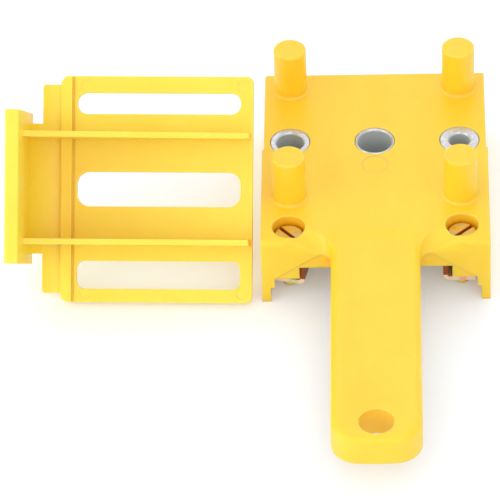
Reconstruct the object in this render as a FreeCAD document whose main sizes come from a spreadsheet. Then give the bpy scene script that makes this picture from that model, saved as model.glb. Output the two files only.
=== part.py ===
import FreeCAD, Part
import math
import os
import re

import Sketcher

# Self centering doweling jig: one moulded body with four posts and a handle, three steel drill
# bushes, a loose fence with a tongue, and two clamps that a screw each draws against that tongue.
# Origin: axis of the middle bush, level with the underside. +X towards the smallest bush,
# +Y towards the end away from the handle, +Z up, the way the posts point. Millimetres.

doc = FreeCAD.newDocument("DowelingJig")
sheet = doc.addObject("Spreadsheet::Sheet", "Sizes")

sizes = {
    # Moulded body
    "roofThickness": 10.2,
    "sideMargin": 7.9,
    "sideStep": 0.5,
    "stepReach": 3.5,
    "backReach": 31.2,
    "wallReach": 45.3,
    "apronThickness": 0.5,
    "plateCornerRadius": 0.8,
    "coreSkin": 3.0,
    "ribWidth": 2.4,
    "boreLand": 3.0,
    "markDiameter": 7.8,
    "markDepth": 0.2,
    "markReach": 10.7,
    # Row of bushes
    "bushPitch": 25.4,
    "bushOuter": 12.0,
    "smallBore": 6.1,
    "middleBore": 8.1,
    "largeBore": 10.1,
    "bushClearance": 0.02,
    "bushRimChamfer": 0.3,
    "boreChamfer": 0.45,
    # Posts
    "postDiameter": 9.8,
    "postHeight": 15.6,
    "postReach": 24.8,
    "postRootChamfer": 0.6,
    "postEdgeChamfer": 0.35,
    # Handle
    "handleHalfWidth": 13.1,
    "handleReach": 128.6,
    "tipRadius": 8.0,
    "tipBulge": 1.0,
    "rootRadius": 3.0,
    "scoopRadius": 6.5,
    "scoopLead": 5.0,
    "scoopAhead": 1.5,
    "handleEdgeRadius": 2.2,
    "handleStep": 0.7,
    "flareReach": 38.3,
    "flareRadius": 72.9,
    "flareRun": 6.9,
    "hangHoleDiameter": 10.2,
    "hangHoleInset": 7.5,
    "hangBossWall": 2.6,
    "handleWall": 3.0,
    "handleRibPitch": 21.0,
    # Skirt below the front edge
    "apexInset": 3.2,
    "apexDrop": 4.7,
    "apexRadius": 1.2,
    "rootRise": 5.0,
    "skirtRise": 3.5,
    # Channel for the fence's tongue
    "channelEnd": 8.2,
    "lipWall": 2.65,
    "slideClearance": 0.25,
    "fitGap": 0.1,
    "ledgeWidth": 1.2,
    "clampRoom": 3.2,
    # Clamping screws
    "screwInset": 5.6,
    "screwReach": 38.5,
    "screwPocketDiameter": 9.8,
    "screwSink": 2.95,
    "headDiameter": 8.5,
    "headHeight": 3.3,
    "headEdgeChamfer": 0.3,
    "driverSlotWidth": 1.2,
    "driverSlotDepth": 1.5,
    "shankDiameter": 5.0,
    "shankClearance": 0.05,
    "screwTipHeight": 1.7,
    "screwTipChamfer": 0.5,
    "leftScrewTurn": -48.0,
    "rightScrewTurn": 43.0,
    # Clamps
    "sheetThickness": 1.4,
    "clampWidth": 9.6,
    "clampLength": 9.8,
    "clampFootHeight": 5.4,
    "heelHeight": 6.6,
    "clampEdgeOffset": 5.7,
    "bendRadius": 0.5,
    "clampPocketSpare": 1.4,
    "heelSpare": 1.0,
    "leftClampTurn": 13.0,
    # Fence
    "fenceSideOver": 0.2,
    "fenceHeight": 56.85,
    "plateThickness": 3.8,
    "plateFarRadius": 1.8,
    "ridgeHeight": 3.25,
    "ridgeStand": 1.2,
    "ridgeCornerRadius": 2.6,
    "grooveWidth": 0.7,
    "grooveDepth": 0.5,
    "shoulderHeight": 5.3,
    "shoulderCornerRadius": 1.0,
    "neckInset": 3.05,
    "neckHeight": 3.5,
    "tongueInset": 3.25,
    "tongueThickness": 4.0,
    "tongueLength": 42.0,
    "tongueEdgeRadius": 0.5,
    "slotPlay": 0.1,
    "slotInset": 4.7,
    "slotFoot": 3.55,
    "smallSlotRadius": 3.0,
    "middleSlotRadius": 2.3,
    "largeSlotRadius": 3.7,
    "ribPlace": 15.7,
    "ribThickness": 1.7,
    "ribTopDepth": 25.0,
    "ribFootDepth": 12.0,
    "ribFootInset": 0.6,
    "ribRootRadius": 0.7,
    "pinMarkDiameter": 3.6,
    "pinMarkDepth": 0.12,
    "pinMarkInset": 2.9,
    # How the loose fence stands beside the body
    "fenceGap": 3.0,
    "fenceStandReach": 46.5,
    "fenceTilt": 42.0,
    "fenceTurn": 1.8,
    # Overrun of every cut past the face that it opens
    "overrun": 1.0,
}

# Sizes that line up across the pieces, each worked out from the sizes above
derived = {
    "bodyHeight": "shoulderHeight + neckHeight + tongueThickness + roofThickness",
    "backHalfWidth": "bushPitch + sideMargin",
    "shoulderHalfWidth": "backHalfWidth + sideStep - lipWall - slideClearance",
    "screwPitch": "backHalfWidth + sideStep - lipWall - screwInset",
    "tongueHalfWidth": "screwPitch - tongueInset",
    "neckHalfWidth": "tongueHalfWidth - neckInset",
    "fenceHalfWidth": "backHalfWidth + fenceSideOver",
    "slotLength": "fenceHeight - slotInset - slotFoot",
    "apexReach": "handleHalfWidth + apexInset",
    "scoopRun": "sqrt((scoopRadius + scoopLead) ^ 2 - (scoopLead + scoopAhead) ^ 2)",
}

for row, (name, size) in enumerate({**sizes, **derived}.items(), start=1):
    sheet.set("A%d" % row, name)
    sheet.set("B%d" % row, "=" + str(size))
    sheet.setAlias("B%d" % row, name)
doc.recompute()


def bound(text):
    """The same sum with every size named in it read from the sheet."""
    return re.sub(r"[A-Za-z]+", lambda word: "Sizes." + word.group(0)
                  if word.group(0) in sizes or word.group(0) in derived else word.group(0), text)


def value(text):
    return float(sheet.evalExpression(text))


def planeOf(body, role):
    return [item for item in body.Origin.OriginFeatures if item.Role == role][0]


def newBody(label):
    body = doc.addObject("PartDesign::Body", label)
    body.Label = label
    return body


def newSketch(body, name, role, offset=None):
    sketch = body.newObject("Sketcher::SketchObject", name)
    sketch.AttachmentSupport = [(planeOf(body, role), "")]
    sketch.MapMode = "FlatFace"
    if offset:
        sketch.setExpression("AttachmentOffset.Base.z", bound(offset))
    return sketch


def tie(sketch, kind, geometry, point, text):
    index = sketch.addConstraint(Sketcher.Constraint(kind, -1, 1, geometry, point, value(text)))
    sketch.setExpression("Constraints[%d]" % index, bound(text))


def addOutline(sketch, corners):
    """A closed outline of straight edges, each corner tied to the named sizes."""
    first = sketch.GeometryCount
    places = [FreeCAD.Vector(value(x), value(y), 0) for x, y in corners]
    count = len(corners)
    for index in range(count):
        sketch.addGeometry(Part.LineSegment(places[index], places[(index + 1) % count]), False)
    for index, (x, y) in enumerate(corners):
        following = (index - 1) % count
        sketch.addConstraint(Sketcher.Constraint("Coincident", first + following, 2, first + index, 1))
        tie(sketch, "DistanceX", first + index, 1, x)
        tie(sketch, "DistanceY", first + index, 1, y)


def addCircle(sketch, x, y, diameter):
    place = FreeCAD.Vector(value(x), value(y), 0)
    index = sketch.addGeometry(Part.Circle(place, FreeCAD.Vector(0, 0, 1), value(diameter) / 2), False)
    tie(sketch, "DistanceX", index, 3, x)
    tie(sketch, "DistanceY", index, 3, y)
    ring = sketch.addConstraint(Sketcher.Constraint("Diameter", index, value(diameter)))
    sketch.setExpression("Constraints[%d]" % ring, bound(diameter))


def rectangle(low, high):
    """Corners of a rectangle from its lowest and highest (x, y)."""
    return [(low[0], low[1]), (high[0], low[1]), (high[0], high[1]), (low[0], high[1])]


def pad(body, sketch, name, length, reverse=False, symmetric=False):
    feature = body.newObject("PartDesign::Pad", name)
    feature.Profile = sketch
    feature.setExpression("Length", bound(length))
    feature.Reversed = reverse
    if symmetric:
        feature.SideType = "Symmetric"
    doc.recompute()
    return feature


def pocket(body, sketch, name, depth, reverse=False):
    before = body.Shape.Volume
    feature = body.newObject("PartDesign::Pocket", name)
    feature.Profile = sketch
    feature.setExpression("Length", bound(depth))
    feature.Reversed = reverse
    doc.recompute()
    if body.Shape.Volume >= before:
        raise RuntimeError(name + " cuts nothing")
    return feature


def edgesWhere(feature, test):
    """Names of the edges whose middle and direction pass the test."""
    names = []
    for index, edge in enumerate(feature.Shape.Edges, start=1):
        if edge.Degenerated:
            continue
        middle = edge.valueAt((edge.FirstParameter + edge.LastParameter) / 2)
        run = edge.tangentAt((edge.FirstParameter + edge.LastParameter) / 2)
        if test(middle, run, edge):
            names.append("Edge%d" % index)
    return names


def fillet(body, name, radius, test):
    base = body.Tip
    names = edgesWhere(base, test)
    if not names:
        raise RuntimeError(name + " finds no edge")
    feature = body.newObject("PartDesign::Fillet", name)
    feature.Base = (base, names)
    feature.setExpression("Radius", bound(radius))
    doc.recompute()
    return feature


def chamfer(body, name, size, test):
    base = body.Tip
    names = edgesWhere(base, test)
    if not names:
        raise RuntimeError(name + " finds no edge")
    feature = body.newObject("PartDesign::Chamfer", name)
    feature.Base = (base, names)
    feature.setExpression("Size", bound(size))
    doc.recompute()
    return feature


# A hair's breadth for telling whether a point lies on a plane
near = value("fitGap") / 100


def close(a, b):
    return abs(a - b) < near


# Heights and widths that several pieces share, worked out from the named sizes
lipInner = "(shoulderHalfWidth + slideClearance)"
ledgeInner = "(shoulderHalfWidth + slideClearance - ledgeWidth)"
windowHalf = "(tongueHalfWidth + slideClearance)"
frontHalfWidth = "(backHalfWidth + sideStep)"
apronReach = "(wallReach + apronThickness)"
roof = "(shoulderHeight + neckHeight + tongueThickness)"
ledge = "shoulderHeight"
clampRoof = "(shoulderHeight + clampRoom)"
headSeat = "(bodyHeight - screwSink - headHeight - fitGap / 2)"
boss = "(bushOuter / 2 + boreLand)"


def mirrored(corners):
    """The same corners on the other side of the middle plane."""
    flipped = []
    for x, y in reversed(corners):
        flipped.append((x[1:] if x.startswith("-") else "-" + x, y))
    return flipped


def buildJigBody():
    body = newBody("jig_body")

    # Block over the workpiece: the front half is a little wider than the back half
    plan = newSketch(body, "BlockPlan", "XY_Plane")
    left = [("-backHalfWidth", "backReach"), ("-backHalfWidth", "-stepReach"),
            ("-" + frontHalfWidth, "-stepReach"), ("-" + frontHalfWidth, "-" + apronReach)]
    addOutline(plan, left + mirrored(left))
    pad(body, plan, "Block", "bodyHeight")
    fillet(body, "BlockCorners", "plateCornerRadius",
           lambda middle, run, edge: abs(run.z) > 0.9 and close(middle.y, value("backReach")))

    # Handle, level with the top and as deep as the roof over the tongue
    grip = newSketch(body, "HandlePlan", "XY_Plane", roof)
    addGrip(grip)
    pad(body, grip, "Handle", "bodyHeight - " + roof)
    fillet(body, "HandleTip", "tipRadius",
           lambda middle, run, edge: abs(run.z) > 0.9
           and close(middle.y, value("tipBulge") - value("handleReach")))
    fillet(body, "HandleRoot", "rootRadius",
           lambda middle, run, edge: abs(run.z) > 0.9
           and close(abs(middle.x), value("handleHalfWidth")) and close(middle.y, -value(apronReach)))
    top = value("bodyHeight")
    lowerHandle(body)
    fillet(body, "HandleEdge", "handleEdgeRadius",
           lambda middle, run, edge: close(middle.z, top - value("handleStep"))
           and close(middle.y, -value("handleReach")))
    scoopRoots(body)

    # Four posts, one with the plate
    posts = newSketch(body, "PostPlan", "XY_Plane", "bodyHeight")
    for x in ("-bushPitch", "bushPitch"):
        for y in ("-postReach", "postReach"):
            addCircle(posts, x, y, "postDiameter")
    pad(body, posts, "Posts", "postHeight")
    radius = value("postDiameter") / 2
    chamfer(body, "PostRoots", "postRootChamfer",
            lambda middle, run, edge: close(middle.z, top) and edge.Curve.TypeId == "Part::GeomCircle"
            and close(edge.Curve.Radius, radius)
            and close(abs(edge.Curve.Center.y), value("postReach")))
    chamfer(body, "PostEdges", "postEdgeChamfer",
            lambda middle, run, edge: close(middle.z, top + value("postHeight")))

    # Open below the skirt: it rises from each lip to an apex and drops again at the handle
    under = newSketch(body, "SkirtOutline", "XZ_Plane", "wallReach")
    left = [("-" + lipInner, "-overrun"), ("-" + lipInner, ledge), ("-" + ledgeInner, ledge),
            ("-" + ledgeInner, "shoulderHeight + skirtRise"), ("-apexReach", "bodyHeight - apexDrop"),
            ("-handleHalfWidth", roof + " + rootRise"), ("-handleHalfWidth", roof)]
    addOutline(under, left + mirrored(left))
    pocket(body, under, "UnderSkirt", "apronThickness + rootRadius + overrun", reverse=True)
    fillet(body, "SkirtApex", "apexRadius",
           lambda middle, run, edge: abs(run.y) > 0.9 and close(abs(middle.x), value("apexReach"))
           and close(middle.z, value("bodyHeight - apexDrop")))

    # Channel for the tongue and shoulder of the fence, stepped above the clamps
    channel = newSketch(body, "ChannelProfile", "XZ_Plane", apronReach)
    left = [("-" + lipInner, "-overrun"), ("-" + lipInner, ledge), ("-" + ledgeInner, ledge),
            ("-" + ledgeInner, clampRoof), ("-" + windowHalf, clampRoof), ("-" + windowHalf, roof)]
    addOutline(channel, left + mirrored(left))
    pocket(body, channel, "Channel", apronReach + " - channelEnd")

    # Room at each side for the clamp to turn a little
    rooms = newSketch(body, "ClampRooms", "XY_Plane", ledge)
    reach = "(clampLength / 2 + clampPocketSpare)"
    for low, high in (("-" + lipInner, "-" + ledgeInner), (ledgeInner, lipInner)):
        addOutline(rooms, rectangle((low, "-screwReach - " + reach), (high, "-screwReach + " + reach)))
    pocket(body, rooms, "ClampRoom", "clampRoom", reverse=True)
    heels = newSketch(body, "HeelRooms", "XY_Plane", clampRoof)
    for low, high in (("-" + windowHalf + " - heelSpare", "-" + windowHalf + " + overrun"),
                      (windowHalf + " - overrun", windowHalf + " + heelSpare")):
        addOutline(heels, rectangle((low, "-screwReach - " + reach), (high, "-screwReach + " + reach)))
    pocket(body, heels, "HeelRoom", roof + " - " + clampRoof, reverse=True)

    # Bores that hold the bushes
    bores = newSketch(body, "BushBores", "XY_Plane", "bodyHeight")
    for place in ("-bushPitch", "0", "bushPitch"):
        addCircle(bores, place, "0", "bushOuter + 2 * bushClearance")
    pocket(body, bores, "BushBore", "bodyHeight + overrun")

    # Clearance holes of the two clamping screws
    holes = newSketch(body, "ScrewHoles", "XY_Plane", clampRoof + " - overrun")
    for place in ("-screwPitch", "screwPitch"):
        addCircle(holes, place, "-screwReach", "shankDiameter + 2 * shankClearance")
    pocket(body, holes, "ScrewHole", headSeat + " - " + clampRoof + " + 2 * overrun", reverse=True)

    # Hanging hole and the round mark in front of the middle bush
    hang = newSketch(body, "HangHole", "XY_Plane", "bodyHeight")
    addCircle(hang, "0", "hangHoleInset - handleReach", "hangHoleDiameter")
    pocket(body, hang, "Hang", "bodyHeight - " + roof + " + overrun")
    mark = newSketch(body, "MouldMark", "XY_Plane", "bodyHeight")
    addCircle(mark, "0", "-markReach", "markDiameter")
    pocket(body, mark, "Mark", "markDepth")

    # Cored underside: pockets between ribs, as the moulding needs
    coreBack(body)
    coreHandle(body)

    # Sunk seats of the screw heads
    seats = newSketch(body, "ScrewSeats", "XY_Plane", "bodyHeight")
    for place in ("-screwPitch", "screwPitch"):
        addCircle(seats, place, "-screwReach", "screwPocketDiameter")
    pocket(body, seats, "ScrewSeat", "bodyHeight - " + headSeat)

    return body


def addGrip(sketch):
    """Plan of the handle: straight sides and an end that bulges a little."""
    half, root = value("handleHalfWidth"), -value("wallReach")
    end, bulge = -value("handleReach"), value("tipBulge")
    radius = (half * half + bulge * bulge) / (2 * bulge)
    corners = [FreeCAD.Vector(half, end + bulge, 0), FreeCAD.Vector(half, root, 0),
               FreeCAD.Vector(-half, root, 0), FreeCAD.Vector(-half, end + bulge, 0)]
    for start, stop in zip(corners[:-1], corners[1:]):
        sketch.addGeometry(Part.LineSegment(start, stop), False)
    circle = Part.Circle(FreeCAD.Vector(0, end + radius, 0), FreeCAD.Vector(0, 0, 1), radius)
    sweep = math.asin(half / radius)
    low = 3 * math.pi / 2
    tip = sketch.addGeometry(Part.ArcOfCircle(circle, low - sweep, low + sweep), False)
    for line in range(2):
        sketch.addConstraint(Sketcher.Constraint("Coincident", line, 2, line + 1, 1))
    sketch.addConstraint(Sketcher.Constraint("Coincident", 2, 2, tip, 1))
    sketch.addConstraint(Sketcher.Constraint("Coincident", tip, 2, 0, 1))
    for line, point, x, y in ((0, 1, "handleHalfWidth", "tipBulge - handleReach"),
                              (1, 1, "handleHalfWidth", "-wallReach"),
                              (2, 1, "-handleHalfWidth", "-wallReach"),
                              (2, 2, "-handleHalfWidth", "tipBulge - handleReach")):
        tie(sketch, "DistanceX", line, point, x)
        tie(sketch, "DistanceY", line, point, y)
    tie(sketch, "DistanceY", tip, 3,
        "(handleHalfWidth ^ 2 + tipBulge ^ 2) / (2 * tipBulge) - handleReach")


def lowerHandle(body):
    """The top eases down to the handle along an arc round a far centre, so the root flares out."""
    centre, edge, foot = "-flareReach - flareRadius", "-flareReach", "-flareReach - flareRun"
    above, lowered = "bodyHeight + overrun", "bodyHeight - handleStep"
    floor = newSketch(body, "HandleFloor", "XY_Plane", "bodyHeight")
    addCircle(floor, "0", centre, "2 * (flareRadius - flareRun)")
    pocket(body, floor, "LoweredHandle", "handleStep")

    # The slope round that floor: a rounded crest that runs into an equal hollow
    flare = newSketch(body, "FlareSection", "YZ_Plane")
    top, step, run = value("bodyHeight"), value("handleStep"), value("flareRun")
    radius = (run * run + step * step) / (4 * step)
    sweep = math.asin(run / 2 / radius)
    quarter = math.pi / 2
    crestCircle = Part.Circle(FreeCAD.Vector(value(edge), top - radius, 0),
                              FreeCAD.Vector(0, 0, 1), radius)
    footCircle = Part.Circle(FreeCAD.Vector(value(foot), top - step + radius, 0),
                             FreeCAD.Vector(0, 0, 1), radius)
    corners = [(foot, lowered), (foot, above), (edge, above), (edge, "bodyHeight")]
    places = [FreeCAD.Vector(value(x), value(y), 0) for x, y in corners]
    for start, end in zip(places[:-1], places[1:]):
        flare.addGeometry(Part.LineSegment(start, end), False)
    upper = flare.addGeometry(Part.ArcOfCircle(crestCircle, quarter, quarter + sweep), False)
    lower = flare.addGeometry(Part.ArcOfCircle(footCircle, 3 * quarter, 3 * quarter + sweep), False)
    for line in range(2):
        flare.addConstraint(Sketcher.Constraint("Coincident", line, 2, line + 1, 1))
    flare.addConstraint(Sketcher.Constraint("Coincident", 2, 2, upper, 1))
    flare.addConstraint(Sketcher.Constraint("Tangent", upper, 2, lower, 2))
    flare.addConstraint(Sketcher.Constraint("Coincident", lower, 1, 0, 1))
    flare.addConstraint(Sketcher.Constraint("Equal", upper, lower))
    pole = flare.addGeometry(Part.LineSegment(FreeCAD.Vector(value(centre), top - step, 0),
                                              FreeCAD.Vector(value(centre), value(above), 0)), True)
    for line, point, x, y in ((0, 1, foot, lowered), (1, 1, foot, above), (2, 1, edge, above),
                              (2, 2, edge, "bodyHeight"), (pole, 1, centre, lowered),
                              (pole, 2, centre, above)):
        tie(flare, "DistanceX", line, point, x)
        tie(flare, "DistanceY", line, point, y)
    tie(flare, "DistanceX", upper, 3, edge)
    tie(flare, "DistanceX", lower, 3, foot)
    before = body.Shape.Volume
    turned = body.newObject("PartDesign::Groove", "HandleFlare")
    turned.Profile = flare
    turned.ReferenceAxis = (flare, ["Axis0"])
    doc.recompute()
    if body.Shape.Volume >= before:
        raise RuntimeError("the handle's flare cuts nothing")


def addBentOutline(sketch, corners, bends):
    """A closed outline with arcs: bends gives such an edge's radius and its bulge, right or left."""
    places = [FreeCAD.Vector(value(x), value(y), 0) for x, y in corners]
    edges = []
    for index, start in enumerate(places):
        end = places[(index + 1) % len(places)]
        if index in bends:
            radius, side = value(bends[index][0]), bends[index][1]
            chord = end - start
            rise = radius - math.sqrt(radius * radius - chord.Length * chord.Length / 4)
            across = FreeCAD.Vector(-chord.y, chord.x, 0).normalize()
            crown = (start + end) / 2 + across * rise * side
            edge = sketch.addGeometry(Part.ArcOfCircle(start, crown, end), False)
        else:
            edge = sketch.addGeometry(Part.LineSegment(start, end), False)
        forward = sketch.getPoint(edge, 1).distanceToPoint(start) < near
        edges.append((edge, 1, 2) if forward else (edge, 2, 1))
    for index, (x, y) in enumerate(corners):
        edge, first, last = edges[index]
        before = edges[index - 1]
        sketch.addConstraint(Sketcher.Constraint("Coincident", before[0], before[2], edge, first))
        tie(sketch, "DistanceX", edge, first, x)
        tie(sketch, "DistanceY", edge, first, y)
    for index, (radius, side) in bends.items():
        ring = sketch.addConstraint(Sketcher.Constraint("Radius", edges[index][0], value(radius)))
        sketch.setExpression("Constraints[%d]" % ring, bound(radius))


def scoopRoots(body):
    """A hollow at each side of the handle's root: wide at the top, gone at the skirt's apex."""
    right, left = -1, 1
    side = "-handleHalfWidth - fitGap / 2"
    share = "scoopRadius / (scoopRadius + scoopLead)"
    far = side + " - scoopRadius - scoopRun"
    front = "-%s - rootRadius - overrun" % apronReach
    mouth = "-%s - scoopAhead" % apronReach
    wall = "-%s - fitGap" % apronReach
    turn = (side + " - scoopRadius - scoopRun * " + share,
            mouth + " + (scoopLead + scoopAhead) * " + share)
    upper = newSketch(body, "ScoopTop", "XY_Plane", "bodyHeight")
    addBentOutline(upper, [(side, front), (side, mouth), turn, (far, "-" + apronReach), (far, front)],
                   {1: ("scoopRadius", right), 2: ("scoopLead", left)})
    lower = newSketch(body, "ScoopFoot", "XY_Plane", "bodyHeight - apexDrop")
    addBentOutline(lower, [(side, front), (side, wall + " - rootRadius"),
                           (side + " - rootRadius", wall), (far, wall), (far, front)],
                   {1: ("rootRadius", right)})
    before = body.Shape.Volume
    scoop = body.newObject("PartDesign::SubtractiveLoft", "LeftScoop")
    scoop.Profile = lower
    scoop.Sections = [upper]
    scoop.Ruled = True
    doc.recompute()
    other = body.newObject("PartDesign::Mirrored", "RightScoop")
    other.Originals = [scoop]
    other.MirrorPlane = (planeOf(body, "YZ_Plane"), [""])
    body.Tip = other
    doc.recompute()
    if body.Shape.Volume >= before:
        raise RuntimeError("the hollows at the root cut nothing")


def coreBack(body):
    """Pockets behind the bushes and between their bosses."""
    cores = newSketch(body, "BackCores", "XY_Plane")
    inner = "(backHalfWidth - coreSkin)"
    half = "ribWidth / 2"
    rows = (("-" + inner, "-bushPitch / 2 - " + half), ("-bushPitch / 2 + " + half, "-" + half),
            (half, "bushPitch / 2 - " + half), ("bushPitch / 2 + " + half, inner))
    for low, high in rows:
        addOutline(cores, rectangle((low, boss), (high, "backReach - coreSkin")))
    for low, high in (("-bushPitch + " + boss, "-" + boss), (boss, "bushPitch - " + boss)):
        addOutline(cores, rectangle((low, "-channelEnd + coreSkin"), (high, boss + " - ribWidth")))
    pocket(body, cores, "BackCore", "bodyHeight - coreSkin", reverse=True)


def coreHandle(body):
    """Two rows of pockets under the handle, either side of a middle rib."""
    cores = newSketch(body, "HandleCores", "XY_Plane", roof)
    first = value("wallReach")
    last = value("handleReach - hangHoleInset - hangHoleDiameter / 2 - hangBossWall")
    count = int((last - first) / value("handleRibPitch"))
    pitch = "(handleReach - hangHoleInset - hangHoleDiameter / 2 - hangBossWall - wallReach) / %d" % count
    for index in range(count):
        start, end = "-wallReach - %d * %s" % (index, pitch), "-wallReach - %d * %s" % (index + 1, pitch)
        for low, high in (("-handleHalfWidth + handleWall", "-ribWidth / 2"),
                          ("ribWidth / 2", "handleHalfWidth - handleWall")):
            addOutline(cores, rectangle((low, end + " + ribWidth / 2"), (high, start + " - ribWidth / 2")))
    pocket(body, cores, "HandleCore", "bodyHeight - coreSkin - " + roof, reverse=True)


def buildBush(label, bore, x):
    """A steel drill bush, with a chamfered mouth at the top."""
    body = newBody(label)
    ring = newSketch(body, label + "_ring", "XY_Plane")
    addCircle(ring, "0", "0", "bushOuter")
    addCircle(ring, "0", "0", bore)
    pad(body, ring, label + "_tube", "bodyHeight")
    top = value("bodyHeight")
    chamfer(body, label + "_rim", "bushRimChamfer",
            lambda middle, run, edge: close(middle.z, top)
            and close(edge.Curve.Radius, value("bushOuter") / 2))
    chamfer(body, label + "_mouth", "boreChamfer",
            lambda middle, run, edge: close(middle.z, top) and close(edge.Curve.Radius, value(bore) / 2))
    body.setExpression("Placement.Base.x", bound(x))
    return body


def buildScrew(label, x, turn):
    """A slotted cheese head screw that turns in the body and never leaves it."""
    body = newBody(label)
    shank = newSketch(body, label + "_shank", "XY_Plane", "screwTipHeight")
    addCircle(shank, "0", "0", "shankDiameter")
    pad(body, shank, label + "_stem", headSeat + " + fitGap / 2 - screwTipHeight")
    chamfer(body, label + "_tip", "screwTipChamfer",
            lambda middle, run, edge: close(middle.z, value("screwTipHeight")))
    head = newSketch(body, label + "_head", "XY_Plane", headSeat + " + fitGap / 2")
    addCircle(head, "0", "0", "headDiameter")
    pad(body, head, label + "_cheese", "headHeight")
    crown = value(headSeat + " + fitGap / 2 + headHeight")
    chamfer(body, label + "_edge", "headEdgeChamfer",
            lambda middle, run, edge: close(middle.z, crown))
    slot = newSketch(body, label + "_slot", "XY_Plane", headSeat + " + fitGap / 2 + headHeight")
    addOutline(slot, rectangle(("-headDiameter", "-driverSlotWidth / 2"),
                               ("headDiameter", "driverSlotWidth / 2")))
    pocket(body, slot, label + "_cut", "driverSlotDepth")
    body.Placement.Rotation = FreeCAD.Rotation(FreeCAD.Vector(0, 0, 1), turn)
    body.setExpression("Placement.Base.x", bound(x))
    body.setExpression("Placement.Base.y", bound("-screwReach"))
    return body


def buildClamp(label, x, inward, turn):
    """A bent steel clamp: a foot tapped for the screw and a heel that grips the tongue."""
    body = newBody(label)
    profile = newSketch(body, label + "_profile", "XZ_Plane", "-clampLength / 2")
    sign = "" if inward > 0 else "-"
    heel = sign + "(clampEdgeOffset - sheetThickness)"
    edge = sign + "clampEdgeOffset"
    outer = sign + "(clampEdgeOffset - clampWidth)"
    under, over, crest = ("clampFootHeight", "clampFootHeight + sheetThickness",
                          "clampFootHeight + heelHeight")
    addOutline(profile, [(outer, under), (edge, under), (edge, crest), (heel, crest), (heel, over),
                         (outer, over)])
    pad(body, profile, label + "_bent", "clampLength")
    fillet(body, label + "_bend", "sheetThickness + bendRadius",
           lambda middle, run, edge: close(middle.z, value("clampFootHeight"))
           and close(middle.x, inward * value("clampEdgeOffset")))
    fillet(body, label + "_inside", "bendRadius",
           lambda middle, run, edge: close(middle.z, value("clampFootHeight + sheetThickness"))
           and close(middle.x, inward * value("clampEdgeOffset - sheetThickness")))
    hole = newSketch(body, label + "_hole", "XY_Plane", over)
    addCircle(hole, "0", "0", "shankDiameter + 2 * shankClearance")
    pocket(body, hole, label + "_tapping", "sheetThickness + overrun")
    body.Placement.Rotation = FreeCAD.Rotation(FreeCAD.Vector(0, 0, 1), turn)
    body.setExpression("Placement.Base.x", bound(x))
    body.setExpression("Placement.Base.y", bound("-screwReach"))
    return body


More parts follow.
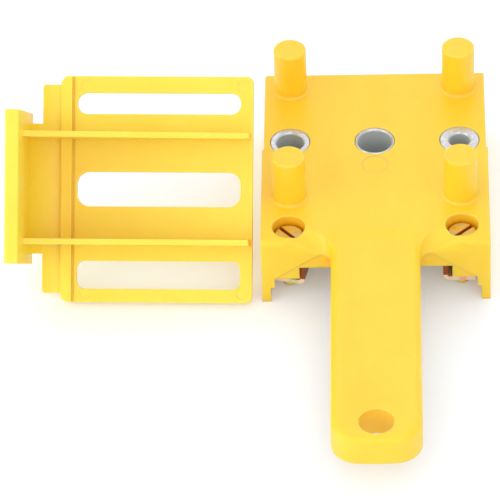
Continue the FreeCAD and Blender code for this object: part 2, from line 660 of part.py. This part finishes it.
def buildFence():
    """The loose fence, modelled as it hangs in the channel: flat face on y = 0, ridge top at z = 0."""
    body = newBody("fence")

    plate = newSketch(body, "FencePlate", "XZ_Plane")
    addOutline(plate, rectangle(("-fenceHalfWidth", "-fenceHeight"), ("fenceHalfWidth", "0")))
    pad(body, plate, "Plate", "plateThickness")
    fillet(body, "FarCorners", "plateFarRadius",
           lambda middle, run, edge: abs(run.y) > 0.9 and close(middle.z, -value("fenceHeight")))

    ridge = newSketch(body, "FenceRidge", "XZ_Plane", "plateThickness")
    addOutline(ridge, rectangle(("-fenceHalfWidth", "-ridgeHeight"), ("fenceHalfWidth", "0")))
    pad(body, ridge, "Ridge", "ridgeStand")
    fillet(body, "RidgeCorners", "ridgeCornerRadius",
           lambda middle, run, edge: abs(run.y) > 0.9 and close(middle.z, 0)
           and close(abs(middle.x), value("fenceHalfWidth")))

    # Shoulder and neck: a hollow curve carries the plate into the tongue
    addHollow(body, "Shoulder", "shoulderHalfWidth", "shoulderHeight")
    fillet(body, "ShoulderCorners", "shoulderCornerRadius",
           lambda middle, run, edge: abs(run.y) > 0.9 and close(middle.z, value("shoulderHeight"))
           and close(abs(middle.x), value("shoulderHalfWidth")))
    addHollow(body, "Neck", "neckHalfWidth", "(shoulderHeight + neckHeight)")

    tongue = newSketch(body, "FenceTongue", "XY_Plane", "shoulderHeight + neckHeight")
    addOutline(tongue, rectangle(("-tongueHalfWidth", "-tongueLength"), ("tongueHalfWidth", "0")))
    pad(body, tongue, "Tongue", "tongueThickness")
    fillet(body, "TongueEnd", "tongueEdgeRadius",
           lambda middle, run, edge: close(middle.y, -value("tongueLength")))

    # Groove that sets the ridge off from the plate
    groove = newSketch(body, "FenceGroove", "XZ_Plane", "plateThickness + ridgeStand")
    addOutline(groove, rectangle(("-fenceHalfWidth - overrun", "-ridgeHeight - grooveWidth"),
                                 ("fenceHalfWidth + overrun", "-ridgeHeight")))
    pocket(body, groove, "Groove", "ridgeStand + grooveDepth")

    # Sight slots, one in line with each bush
    for name, place, width, radius in (("Small", "bushPitch", "smallBore", "smallSlotRadius"),
                                       ("Middle", "-bushPitch", "middleBore", "middleSlotRadius"),
                                       ("Large", "0", "largeBore", "largeSlotRadius")):
        addSlot(body, name, place, "(" + width + " + slotPlay) / 2", radius)

    # Round marks of the pins that push the moulding out, one near each corner of the plate
    marks = newSketch(body, "PinMarks", "XZ_Plane", "plateThickness")
    for x in ("-fenceHalfWidth + pinMarkInset", "fenceHalfWidth - pinMarkInset"):
        for y in ("-slotInset - pinMarkInset", "-fenceHeight + pinMarkInset"):
            addCircle(marks, x, y, "pinMarkDiameter")
    pocket(body, marks, "PinMark", "pinMarkDepth")

    # Two ribs brace the tongue, deepest under it
    for name, place in (("LeftRib", "-ribPlace"), ("RightRib", "ribPlace")):
        rib = newSketch(body, name + "Outline", "YZ_Plane", place + " - ribThickness / 2")
        addOutline(rib, [("-plateThickness / 2", "shoulderHeight + neckHeight + tongueThickness / 2"),
                         ("-plateThickness - ribTopDepth",
                          "shoulderHeight + neckHeight + tongueThickness / 2"),
                         ("-plateThickness - ribTopDepth", "shoulderHeight + neckHeight"),
                         ("-plateThickness - ribFootDepth", "ribFootInset - fenceHeight"),
                         ("-plateThickness / 2", "ribFootInset - fenceHeight")])
        pad(body, rib, name, "ribThickness")
        sides = (value(place + " - ribThickness / 2"), value(place + " + ribThickness / 2"))
        fillet(body, name + "Roots", "ribRootRadius",
               lambda middle, run, edge: abs(run.z) > 0.9 and close(middle.y, -value("plateThickness"))
               and (close(middle.x, sides[0]) or close(middle.x, sides[1]))
               and middle.z < -value("slotInset"))
    standFence(body)
    return body


def addHollow(body, name, half, height):
    """Wall from the plate towards the tongue, hollowed by an arc that meets both squarely."""
    wall = newSketch(body, name + "Section", "YZ_Plane")
    deep = "(shoulderHeight + neckHeight)"
    radius = value(deep)
    level = value(height)
    reach = radius - math.sqrt(radius * radius - level * level)
    middle = FreeCAD.Vector(-value("plateThickness") - radius, 0, 0)
    low = FreeCAD.Vector(-value("plateThickness"), 0, 0)
    high = FreeCAD.Vector(-value("plateThickness") - reach, level, 0)
    corner = FreeCAD.Vector(0, level, 0)
    start = FreeCAD.Vector(0, 0, 0)
    angle = math.atan2(level, radius - reach)
    circle = Part.Circle(middle, FreeCAD.Vector(0, 0, 1), radius)
    arc = wall.addGeometry(Part.ArcOfCircle(circle, 0, angle), False)
    topEdge = wall.addGeometry(Part.LineSegment(high, corner), False)
    back = wall.addGeometry(Part.LineSegment(corner, start), False)
    foot = wall.addGeometry(Part.LineSegment(start, low), False)
    if close(level, radius):
        wall.addConstraint(Sketcher.Constraint("Tangent", arc, 2, topEdge, 1))
    else:
        wall.addConstraint(Sketcher.Constraint("Coincident", arc, 2, topEdge, 1))
        tie(wall, "DistanceY", back, 1, height)
    wall.addConstraint(Sketcher.Constraint("Coincident", topEdge, 2, back, 1))
    wall.addConstraint(Sketcher.Constraint("Coincident", back, 2, foot, 1))
    wall.addConstraint(Sketcher.Constraint("Coincident", foot, 2, arc, 1))
    wall.addConstraint(Sketcher.Constraint("Coincident", back, 2, -1, 1))
    wall.addConstraint(Sketcher.Constraint("PointOnObject", foot, 2, -1))
    wall.addConstraint(Sketcher.Constraint("PointOnObject", back, 1, -2))
    wall.addConstraint(Sketcher.Constraint("PointOnObject", arc, 3, -1))
    wall.addConstraint(Sketcher.Constraint("Horizontal", topEdge))
    tie(wall, "DistanceX", foot, 2, "-plateThickness")
    bend = wall.addConstraint(Sketcher.Constraint("Radius", arc, radius))
    wall.setExpression("Constraints[%d]" % bend, bound(deep))
    pad(body, wall, name, "2 * " + half, symmetric=True)


def addSlot(body, name, place, half, radius):
    slot = newSketch(body, name + "SlotOutline", "XZ_Plane", "plateThickness")
    addOutline(slot, rectangle((place + " - " + half, "-slotInset - slotLength"),
                               (place + " + " + half, "-slotInset")))
    pocket(body, slot, name + "Slot", "plateThickness + overrun")
    left, right = value(place + " - " + half), value(place + " + " + half)
    ends = (-value("slotInset"), -value("slotInset + slotLength"))
    fillet(body, name + "SlotEnds", radius,
           lambda middle, run, edge: abs(run.y) > 0.9
           and (close(middle.x, left) or close(middle.x, right))
           and (close(middle.z, ends[0]) or close(middle.z, ends[1])))


def standFence(body):
    """Stood on its long edge beside the body, tongue forward, smallest slot uppermost."""
    tilt = math.radians(value("fenceTilt"))
    turn = math.radians(value("fenceTurn"))
    across = FreeCAD.Vector(0, math.sin(tilt), math.cos(tilt))
    along = FreeCAD.Vector(0, math.cos(tilt), -math.sin(tilt))
    upright = FreeCAD.Vector(-1, 0, 0)
    spin = FreeCAD.Rotation(FreeCAD.Vector(0, 0, 1), -math.degrees(turn))
    across, along, upright = [spin.multVec(item) for item in (across, along, upright)]
    body.Placement.Rotation = FreeCAD.Rotation(across, along, upright, "XYZ")
    corner = body.Placement.Rotation.multVec(
        FreeCAD.Vector(-value("fenceHalfWidth"), 0, -value("fenceHeight")))
    body.Placement.Base = FreeCAD.Vector(-value(frontHalfWidth) - value("fenceGap") - corner.x,
                                         -value("fenceStandReach") - corner.y, -corner.z)
    print("fence slides along", [round(part, 5) for part in -along])
    print("fence stands at", [round(part, 3) for part in body.Placement.Base])


pieces = [
    buildJigBody(),
    buildBush("guide_bush_6", "smallBore", "bushPitch"),
    buildBush("guide_bush_8", "middleBore", "-bushPitch"),
    buildBush("guide_bush_10", "largeBore", "0"),
    buildScrew("clamp_screw_left", "-screwPitch", value("leftScrewTurn")),
    buildScrew("clamp_screw_right", "screwPitch", value("rightScrewTurn")),
    buildClamp("clamp_left", "-screwPitch", 1, -value("leftClampTurn")),
    buildClamp("clamp_right", "screwPitch", -1, 0),
    buildFence(),
]
doc.recompute()

for item in doc.Objects:
    if "Invalid" in item.State or "Error" in item.State:
        raise RuntimeError(item.Label + " is not sound: " + str(item.State))
for piece in pieces:
    if piece.Shape.isNull() or not piece.Shape.isValid():
        raise RuntimeError(piece.Label + " has no valid solid")

os.makedirs("parts", exist_ok=True)
for piece in pieces:
    piece.Shape.exportStep("parts/" + piece.Label + ".step")
    print(piece.Label, len(piece.Shape.Solids), "solid,", round(piece.Shape.Volume), "cubic mm")
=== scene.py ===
import math

import bpy
from mathutils import Matrix, Vector

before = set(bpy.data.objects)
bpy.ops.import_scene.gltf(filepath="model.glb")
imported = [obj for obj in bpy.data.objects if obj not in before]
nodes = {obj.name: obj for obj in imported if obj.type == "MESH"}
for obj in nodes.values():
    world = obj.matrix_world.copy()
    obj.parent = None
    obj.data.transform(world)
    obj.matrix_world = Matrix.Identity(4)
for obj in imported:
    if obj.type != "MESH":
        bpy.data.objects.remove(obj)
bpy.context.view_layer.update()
print("frame loaded:", len(nodes), "nodes")


def paint(red, green, blue):
    # Screen colour from 0 to 255, turned into the linear values that a shader takes
    def linear(level):
        share = level / 255.0
        return share / 12.92 if share <= 0.04045 else ((share + 0.055) / 1.055) ** 2.4
    return (linear(red), linear(green), linear(blue), 1.0)


# Rays that each material sends out for its softened edges and for the painted shade in its holes and inner
# corners
rays = {"edge": 6, "paintedShade": 6}


class Shade:
    # A material, with short ways to add its nodes and to join them
    def __init__(self, name):
        self.material = bpy.data.materials.new(name)
        self.material.use_nodes = True
        self.tree = self.material.node_tree
        self.surface = self.tree.nodes["Principled BSDF"]
        self.place = self.add("ShaderNodeTexCoord").outputs["Object"]

    def add(self, kind, inputs=None, **settings):
        node = self.tree.nodes.new(kind)
        for name, setting in settings.items():
            setattr(node, name, setting)
        for name, given in (inputs or {}).items():
            self.feed(given, node.inputs[name])
        return node

    def feed(self, given, socket):
        if isinstance(given, bpy.types.NodeSocket):
            self.tree.links.new(given, socket)
        else:
            socket.default_value = given

    def noise(self, scale, detail, roughness, stretch=None):
        place = self.place
        if stretch:
            place = self.add("ShaderNodeMapping", {"Vector": place, "Scale": stretch}).outputs[0]
        return self.add("ShaderNodeTexNoise", {"Vector": place, "Scale": scale, "Detail": detail,
                                               "Roughness": roughness}).outputs["Fac"]

    def between(self, fac, low, high, start, end):
        return self.add("ShaderNodeMapRange", {"Value": fac, "From Min": low, "From Max": high,
                                               "To Min": start, "To Max": end}).outputs["Result"]

    def ramp(self, fac, stops):
        node = self.add("ShaderNodeValToRGB", {"Fac": fac})
        points = node.color_ramp.elements
        while len(points) < len(stops):
            points.new(0.5)
        for point, (place, colour) in zip(points, stops):
            point.position = place
            point.color = colour
        return node.outputs["Color"]

    def blend(self, fac, first, second):
        node = self.add("ShaderNodeMix", data_type="RGBA", blend_type="MIX")
        self.feed(fac, node.inputs["Factor"])
        self.feed(first, node.inputs["A"])
        self.feed(second, node.inputs["B"])
        return node.outputs["Result"]

    def work(self, kind, first, second):
        # One sum, of the kind that a math node names
        return self.add("ShaderNodeMath", {0: first, 1: second}, operation=kind).outputs[0]

    def bump(self, height, distance, strength, under):
        # Relief in the light only, over the normal given as under
        return self.add("ShaderNodeBump", {"Height": height, "Distance": distance, "Strength": strength,
                                           "Normal": under}).outputs["Normal"]

    def atEdge(self, rounded, start, end):
        # 0 on flat faces and up to 1 on edges, by how far the rounded normal turns from the true one
        true = self.add("ShaderNodeNewGeometry").outputs["True Normal"]
        turn = self.add("ShaderNodeVectorMath", {0: rounded, 1: true}, operation="DOT_PRODUCT")
        return self.between(turn.outputs["Value"], start, end, 0.0, 1.0)

    def paintedShadeMask(self, reach, start, end):
        # 0 in the open and up to 1 in holes and inner corners: the mask for painted shade, found by
        # occlusion
        node = self.add("ShaderNodeAmbientOcclusion", {"Distance": reach}, samples=rays["paintedShade"])
        return self.between(node.outputs["AO"], start, end, 0.0, 1.0)

    def rounded(self, radius):
        # Light breaks on the edges as if they were softened, with no change to the mesh
        return self.add("ShaderNodeBevel", {"Radius": radius}, samples=rays["edge"]).outputs["Normal"]

    def dress(self, **inputs):
        for name, given in inputs.items():
            self.feed(given, self.surface.inputs[name])


def corners(obj):
    # In the object's own coordinates, which the materials use too and which no pose changes
    return [vertex.co for vertex in obj.data.vertices]


def middle(obj):
    # Where the axis of a turned piece stands
    places = corners(obj)
    return [(min(place[axis] for place in places) + max(place[axis] for place in places)) / 2
            for axis in (0, 1)]


def wear(obj, material):
    # The node keeps its mesh: only the finish in its slots changes
    if not obj.material_slots:
        obj.data.materials.append(None)
    for slot in obj.material_slots:
        slot.link = "OBJECT"
        slot.material = material


# Moulded plastic of the body and the fence: cloudy yellow, with orange painted shade in holes and inner
# corners and a pale painted highlight along the edges, with fine grain, sink marks and light scratches. Each
# noise, here and below, is its scale, detail, roughness and, for some, its stretch.

plastic = {
    "body": {
        "colour": paint(255, 214, 54),
        "deep": paint(255, 207, 44),
        # Painted shade: the orange that the body's holes and inner corners take
        "paintedShade": paint(255, 176, 4),
        "softEdge": 0.0006,
        "glowReach": 0.0015,
    },
    "fence": {
        "colour": paint(255, 227, 74),
        "deep": paint(255, 220, 62),
        # Painted shade: the colour that the fence's holes and inner corners take
        "paintedShade": paint(255, 214, 50),
        "softEdge": 0.0002,
        "glowReach": 0.0015,
    },
    # Painted highlight: a pale colour laid along the edges, where light would catch their rounding
    "edgeHighlight": paint(255, 216, 158),
    "edgeHighlightShare": 0.8,
    "edgeHighlightTurn": (0.99, 0.75),
    # How far occlusion looks, and how open a place must be before the painted shade fades out
    "paintedShadeReach": 0.007,
    "paintedShadeOpen": (0.62, 0.22),
    "cloud": (38.0, 2.0, 0.55),
    "flow": (90.0, 4.0, 0.6, (1.0, 0.25, 1.0)),
    "grain": (5200.0, 2.0, 0.5),
    "grainDepth": 0.00002,
    "sink": (160.0, 2.0, 0.4),
    "sinkDepth": 0.00018,
    "sinkStrength": 0.5,
    "smudge": (260.0, 4.0, 0.55),
    "scratch": (900.0, 3.0, 0.6, (1.0, 0.06, 1.0)),
    "spread": (0.7, 1.3),
    "roughness": (0.36, 0.46),
    "coat": (0.08, 0.25),
    "glow": 0.6,
    "glowTint": (1.0, 0.6, 0.2),
    "refraction": 1.5,
}


def mouldedPlastic(name):
    shade = Shade(name + "_plastic")
    look = plastic[name]
    clouded = shade.work("ADD", shade.noise(*plastic["cloud"]), shade.noise(*plastic["flow"]))
    tone = shade.between(clouded, *plastic["spread"], 0.0, 1.0)
    worn = shade.work("ADD", shade.noise(*plastic["smudge"]), shade.noise(*plastic["scratch"]))
    rough = shade.between(worn, *plastic["spread"], *plastic["roughness"])
    rounded = shade.rounded(look["softEdge"])
    # Painted highlight along the edges, as strong as the softened normal turns away from the true one
    edge = shade.atEdge(rounded, *plastic["edgeHighlightTurn"])
    paintedHighlight = shade.work("MULTIPLY", edge, plastic["edgeHighlightShare"])
    fine = shade.bump(shade.noise(*plastic["grain"]), plastic["grainDepth"], 1.0, rounded)
    soft = shade.bump(shade.noise(*plastic["sink"]), plastic["sinkDepth"], plastic["sinkStrength"], fine)
    # Painted shade: occluded places turn to the shade colour
    shadeMask = shade.paintedShadeMask(plastic["paintedShadeReach"], *plastic["paintedShadeOpen"])
    ground = shade.blend(shadeMask, shade.blend(tone, look["deep"], look["colour"]), look["paintedShade"])
    coat, coatRough = plastic["coat"]
    shade.dress(**{"Base Color": shade.blend(paintedHighlight, ground, plastic["edgeHighlight"]), "Roughness": rough,
                   "Normal": soft, "IOR": plastic["refraction"], "Coat Weight": coat,
                   "Coat Roughness": coatRough, "Subsurface Weight": plastic["glow"],
                   "Subsurface Scale": look["glowReach"], "Subsurface Radius": plastic["glowTint"]})
    return shade.material


wear(nodes["jig_body"], mouldedPlastic("body"))
wear(nodes["fence"], mouldedPlastic("fence"))
print("plastic made")

# Turned steel of the drill bushes: fine rings round each axis, a dark painted reflection broken into flecks
# at both rims, a duller bore

steel = {
    "bright": paint(222, 224, 230),
    "dull": paint(180, 183, 190),
    "bore": paint(206, 210, 208),
    # Painted reflection: dark broken rings at both rims, where the chamfers would mirror dark surroundings
    "rimReflection": paint(70, 70, 74),
    "rimReflectionWidth": 0.00038,
    "rimReflectionBreaks": (1900.0, 3.0, 0.6),
    "rimReflectionStart": (1.05, 1.45),
    "rimReflectionShare": 0.85,
    "ringPitch": 0.00022,
    "ringDepth": 0.000004,
    "ringShare": 0.25,
    "tone": (700.0, 3.0, 0.55),
    "toneSpread": (0.2, 0.9),
    "blur": (420.0, 4.0, 0.6),
    "blurSpread": (0.3, 0.7),
    "roughness": (0.16, 0.30),
    "boreRoughness": 0.5,
    "boreMetal": 0.35,
    "boreLip": 0.0001,
    "softEdge": 0.0002,
}


def turnedSteel(obj):
    middleX, middleY = middle(obj)
    spans = [math.hypot(place.x - middleX, place.y - middleY) for place in corners(obj)]
    bore, rim = min(spans), max(spans)
    shade = Shade(obj.name + "_steel")
    apart = shade.add("ShaderNodeSeparateXYZ", {0: shade.place}).outputs
    across = shade.work("SUBTRACT", apart["X"], middleX)
    along = shade.work("SUBTRACT", apart["Y"], middleY)
    squares = shade.work("ADD", shade.work("MULTIPLY", across, across), shade.work("MULTIPLY", along, along))
    radius = shade.work("POWER", squares, 0.5)
    turns = shade.work("MULTIPLY", shade.work("ADD", radius, apart["Z"]), math.tau / steel["ringPitch"])
    ring = shade.work("SINE", turns, 0.0)
    ringTone = shade.work("MULTIPLY", ring, steel["ringShare"])
    uneven = shade.work("ADD", ringTone, shade.noise(*steel["tone"]))
    tone = shade.between(uneven, *steel["toneSpread"], 0.0, 1.0)
    rough = shade.between(shade.noise(*steel["blur"]), *steel["blurSpread"], *steel["roughness"])
    inside = shade.work("LESS_THAN", radius, bore + steel["boreLip"])
    # Dark painted reflection near the outer rim and near the bore, broken up by noise
    width = steel["rimReflectionWidth"]
    nearRim = shade.between(radius, rim - width, rim, 0.0, 1.0)
    nearBore = shade.between(radius, bore + width, bore, 0.0, 1.0)
    edge = shade.work("MAXIMUM", nearRim, nearBore)
    rimPattern = shade.work("ADD", shade.noise(*steel["rimReflectionBreaks"]), edge)
    paintedReflection = shade.between(rimPattern, *steel["rimReflectionStart"], 0.0, steel["rimReflectionShare"])
    ground = shade.blend(tone, steel["dull"], steel["bright"])
    outer = shade.blend(paintedReflection, ground, steel["rimReflection"])
    shade.dress(**{"Base Color": shade.blend(inside, outer, steel["bore"]),
                   "Metallic": shade.between(inside, 0.0, 1.0, 1.0, steel["boreMetal"]),
                   "Roughness": shade.between(inside, 0.0, 1.0, rough, steel["boreRoughness"]),
                   "Normal": shade.bump(ring, steel["ringDepth"], 1.0, shade.rounded(steel["softEdge"]))})
    wear(obj, shade.material)


for label in ("guide_bush_6", "guide_bush_8", "guide_bush_10"):
    turnedSteel(nodes[label])
print("steel made")

# Yellow zinc of the screws and the clamps: it plays from rose to green, with brown painted shade in the
# screws' slots and on the clamps' heels

zinc = {
    "screw": ((0.36, paint(230, 186, 40)), (0.50, paint(236, 206, 100)), (0.64, paint(204, 200, 158))),
    # Brown painted shade for the screws' slots and the sides of their heads
    "slot": paint(196, 118, 66),
    "clamp": ((0.34, paint(238, 168, 140)), (0.50, paint(240, 216, 184)), (0.66, paint(196, 200, 132))),
    # Brown painted shade for the clamps' heels
    "heel": paint(150, 74, 22),
    "slotShadeBand": (-0.0036, -0.00035),
    "heelBand": (0.0021, 0.01),
    "bloom": (330.0, 4.0, 0.6),
    "brush": (2400.0, 2.0, 0.5, (1.0, 0.08, 1.0)),
    "brushDepth": 0.00002,
    "spread": (0.7, 1.3),
    "roughness": (0.34, 0.52),
    "metal": 0.6,
    "threadPitch": 0.0008,
    "threadDepth": 0.00035,
    "softEdge": 0.00025,
}


def yellowZinc(obj, tints, shadeBrown, low, high):
    # The brown painted shade lies between two heights of the object
    shade = Shade(obj.name + "_zinc")
    apart = shade.add("ShaderNodeSeparateXYZ", {0: shade.place}).outputs
    bloom = shade.noise(*zinc["bloom"])
    brushed = shade.noise(*zinc["brush"])
    rough = shade.between(shade.work("ADD", bloom, brushed), *zinc["spread"], *zinc["roughness"])
    above = shade.work("GREATER_THAN", apart["Z"], low)
    # The band between the two heights, which takes the brown painted shade
    reach = shade.work("MULTIPLY", above, shade.work("LESS_THAN", apart["Z"], high))
    normal = shade.bump(brushed, zinc["brushDepth"], 1.0, shade.rounded(zinc["softEdge"]))
    shade.dress(**{"Base Color": shade.blend(reach, shade.ramp(bloom, tints), shadeBrown),
                   "Metallic": zinc["metal"], "Roughness": rough, "Normal": normal})
    wear(obj, shade.material)
    return shade


def cutThread(shade, obj, top):
    # A helix pressed into the shank below the head, in the light only
    middleX, middleY = middle(obj)
    apart = shade.add("ShaderNodeSeparateXYZ", {0: shade.place}).outputs
    across = shade.work("SUBTRACT", apart["X"], middleX)
    along = shade.work("SUBTRACT", apart["Y"], middleY)
    part = shade.work("DIVIDE", shade.work("ARCTAN2", along, across), math.tau)
    turns = shade.work("SUBTRACT", shade.work("DIVIDE", apart["Z"], zinc["threadPitch"]), part)
    flank = shade.work("PINGPONG", turns, 0.5)
    onShank = shade.work("LESS_THAN", apart["Z"], top)
    relief = shade.work("MULTIPLY", flank, onShank)
    plain = shade.surface.inputs["Normal"].links[0].from_socket
    shade.dress(Normal=shade.bump(relief, zinc["threadDepth"], 1.0, plain))


# Brown painted shade from just under each screw's crown, so in its slot too, to just below its head
for label in ("clamp_screw_left", "clamp_screw_right"):
    crown = max(place.z for place in corners(nodes[label]))
    low, high = (crown + rise for rise in zinc["slotShadeBand"])
    screw = yellowZinc(nodes[label], zinc["screw"], zinc["slot"], low, high)
    cutThread(screw, nodes[label], low)
# Brown painted shade on each clamp's heel, above the foot
for label in ("clamp_left", "clamp_right"):
    foot = min(place.z for place in corners(nodes[label]))
    low, high = (foot + rise for rise in zinc["heelBand"])
    yellowZinc(nodes[label], zinc["clamp"], zinc["heel"], low, high)
print("zinc made")

# Floor, daylight and lamps. Each lamp has its place, its size and its power.

studio = {
    "floorHalf": 1.6,
    "floorDrop": 0.00005,
    "floorRoughness": 0.9,
    "floorShine": 0.1,
    "floor": paint(233, 240, 251),
    "lift": 0.20,
    "daylight": 0.92,
    "key": (0.25, -1.1, 0.8, 1.0, 3.2),
    "fill": (-1.1, -0.6, 0.5, 1.0, 5.0),
    "rear": (0.1, 0.9, 1.0, 0.9, 1.0),
    "lampsAim": (-0.02, -0.03, 0.01),
}


def seenRay(tree):
    # 1 for what the camera, a gloss or a clear surface sees, 0 for the light on the object
    path = tree.nodes.new("ShaderNodeLightPath")
    total = path.outputs["Is Camera Ray"]
    for name in ("Is Glossy Ray", "Is Transmission Ray"):
        joined = tree.nodes.new("ShaderNodeMath")
        joined.operation = "MAXIMUM"
        tree.links.new(total, joined.inputs[0])
        tree.links.new(path.outputs[name], joined.inputs[1])
        total = joined.outputs[0]
    return total


def makeFloor():
    half = studio["floorHalf"]
    mesh = bpy.data.meshes.new("floor")
    mesh.from_pydata([(-half, -half, 0), (half, -half, 0), (half, half, 0), (-half, half, 0)], [],
                     [(0, 1, 2, 3)])
    floor = bpy.data.objects.new("floor", mesh)
    floor.location.z = -studio["floorDrop"]
    bpy.context.scene.collection.objects.link(floor)
    material = bpy.data.materials.new("floor_paper")
    material.use_nodes = True
    tree = material.node_tree
    surface = tree.nodes["Principled BSDF"]
    surface.inputs["Base Color"].default_value = studio["floor"]
    surface.inputs["Roughness"].default_value = studio["floorRoughness"]
    surface.inputs["Specular IOR Level"].default_value = studio["floorShine"]
    glow = tree.nodes.new("ShaderNodeEmission")
    lifted = tree.nodes.new("ShaderNodeMath")
    lifted.operation = "MULTIPLY"
    tree.links.new(seenRay(tree), lifted.inputs[0])
    lifted.inputs[1].default_value = studio["lift"]
    tree.links.new(lifted.outputs[0], glow.inputs["Strength"])
    both = tree.nodes.new("ShaderNodeAddShader")
    tree.links.new(surface.outputs[0], both.inputs[0])
    tree.links.new(glow.outputs[0], both.inputs[1])
    tree.links.new(both.outputs[0], tree.nodes["Material Output"].inputs["Surface"])
    mesh.materials.append(material)


def makeWorld():
    world = bpy.data.worlds.new("daylight")
    bpy.context.scene.world = world
    world.use_nodes = True
    tree = world.node_tree
    ground = tree.nodes["Background"]
    ground.inputs["Color"].default_value = (1.0, 1.0, 1.0, 1.0)
    strength = tree.nodes.new("ShaderNodeMapRange")
    tree.links.new(seenRay(tree), strength.inputs["Value"])
    strength.inputs["To Min"].default_value = studio["daylight"]
    strength.inputs["To Max"].default_value = 1.0
    tree.links.new(strength.outputs["Result"], ground.inputs["Strength"])


def makeLamp(name, x, y, z, size, power):
    lamp = bpy.data.lights.new(name, "AREA")
    lamp.shape = "SQUARE"
    lamp.size = size
    lamp.energy = power
    holder = bpy.data.objects.new(name, lamp)
    holder.location = (x, y, z)
    holder.rotation_mode = "QUATERNION"
    sight = Vector(studio["lampsAim"]) - holder.location
    holder.rotation_quaternion = sight.to_track_quat("-Z", "Y")
    bpy.context.scene.collection.objects.link(holder)


makeFloor()
makeWorld()
for name in ("key", "fill", "rear"):
    makeLamp(name, *studio[name])
print("studio made")

# Camera, at the photograph's angle and distance. The photograph's own axis runs through the point named
# over and stands at axisPixel. The camera looks aside of it, at what stands at middlePixel.

view = {
    "azimuth": 0.503,
    "elevation": 40.41,
    "roll": 1.126,
    "distance": 1.4654,
    "over": (0.0, 0.0, 0.023),
    "focalPixels": 5055.0,
    "pictureWidth": 500.0,
    "sensorWidth": 36.0,
    "clip": (0.05, 20.0),
    "framing": 0.965,
    "axisPixel": (367.8, 137.3),
    "middlePixel": (238.5, 250.5),
}


def makeCamera():
    turn, rise, roll = (math.radians(view[name]) for name in ("azimuth", "elevation", "roll"))
    back = Vector((math.sin(turn) * math.cos(rise), -math.cos(turn) * math.cos(rise), math.sin(rise)))
    right = Vector((math.cos(turn), math.sin(turn), 0.0))
    up = back.cross(right)
    side = right * math.cos(roll) - up * math.sin(roll)
    top = right * math.sin(roll) + up * math.cos(roll)
    (axisX, axisY), (middleX, middleY) = view["axisPixel"], view["middlePixel"]
    aim = (side * ((middleX - axisX) / view["focalPixels"])
           + top * ((axisY - middleY) / view["focalPixels"]) - back).normalized()
    side = (side - aim * side.dot(aim)).normalized()
    top = side.cross(aim)
    data = bpy.data.cameras.new("camera")
    data.sensor_width = view["sensorWidth"]
    data.lens = view["sensorWidth"] * view["focalPixels"] * view["framing"] / view["pictureWidth"]
    data.clip_start, data.clip_end = view["clip"]
    camera = bpy.data.objects.new("camera", data)
    place = Matrix((side, top, -aim)).transposed().to_4x4()
    place.translation = Vector(view["over"]) + back * view["distance"]
    camera.matrix_world = place
    bpy.context.scene.collection.objects.link(camera)
    bpy.context.scene.camera = camera


makeCamera()
bpy.context.scene.view_settings.view_transform = "Standard"
print("camera made")
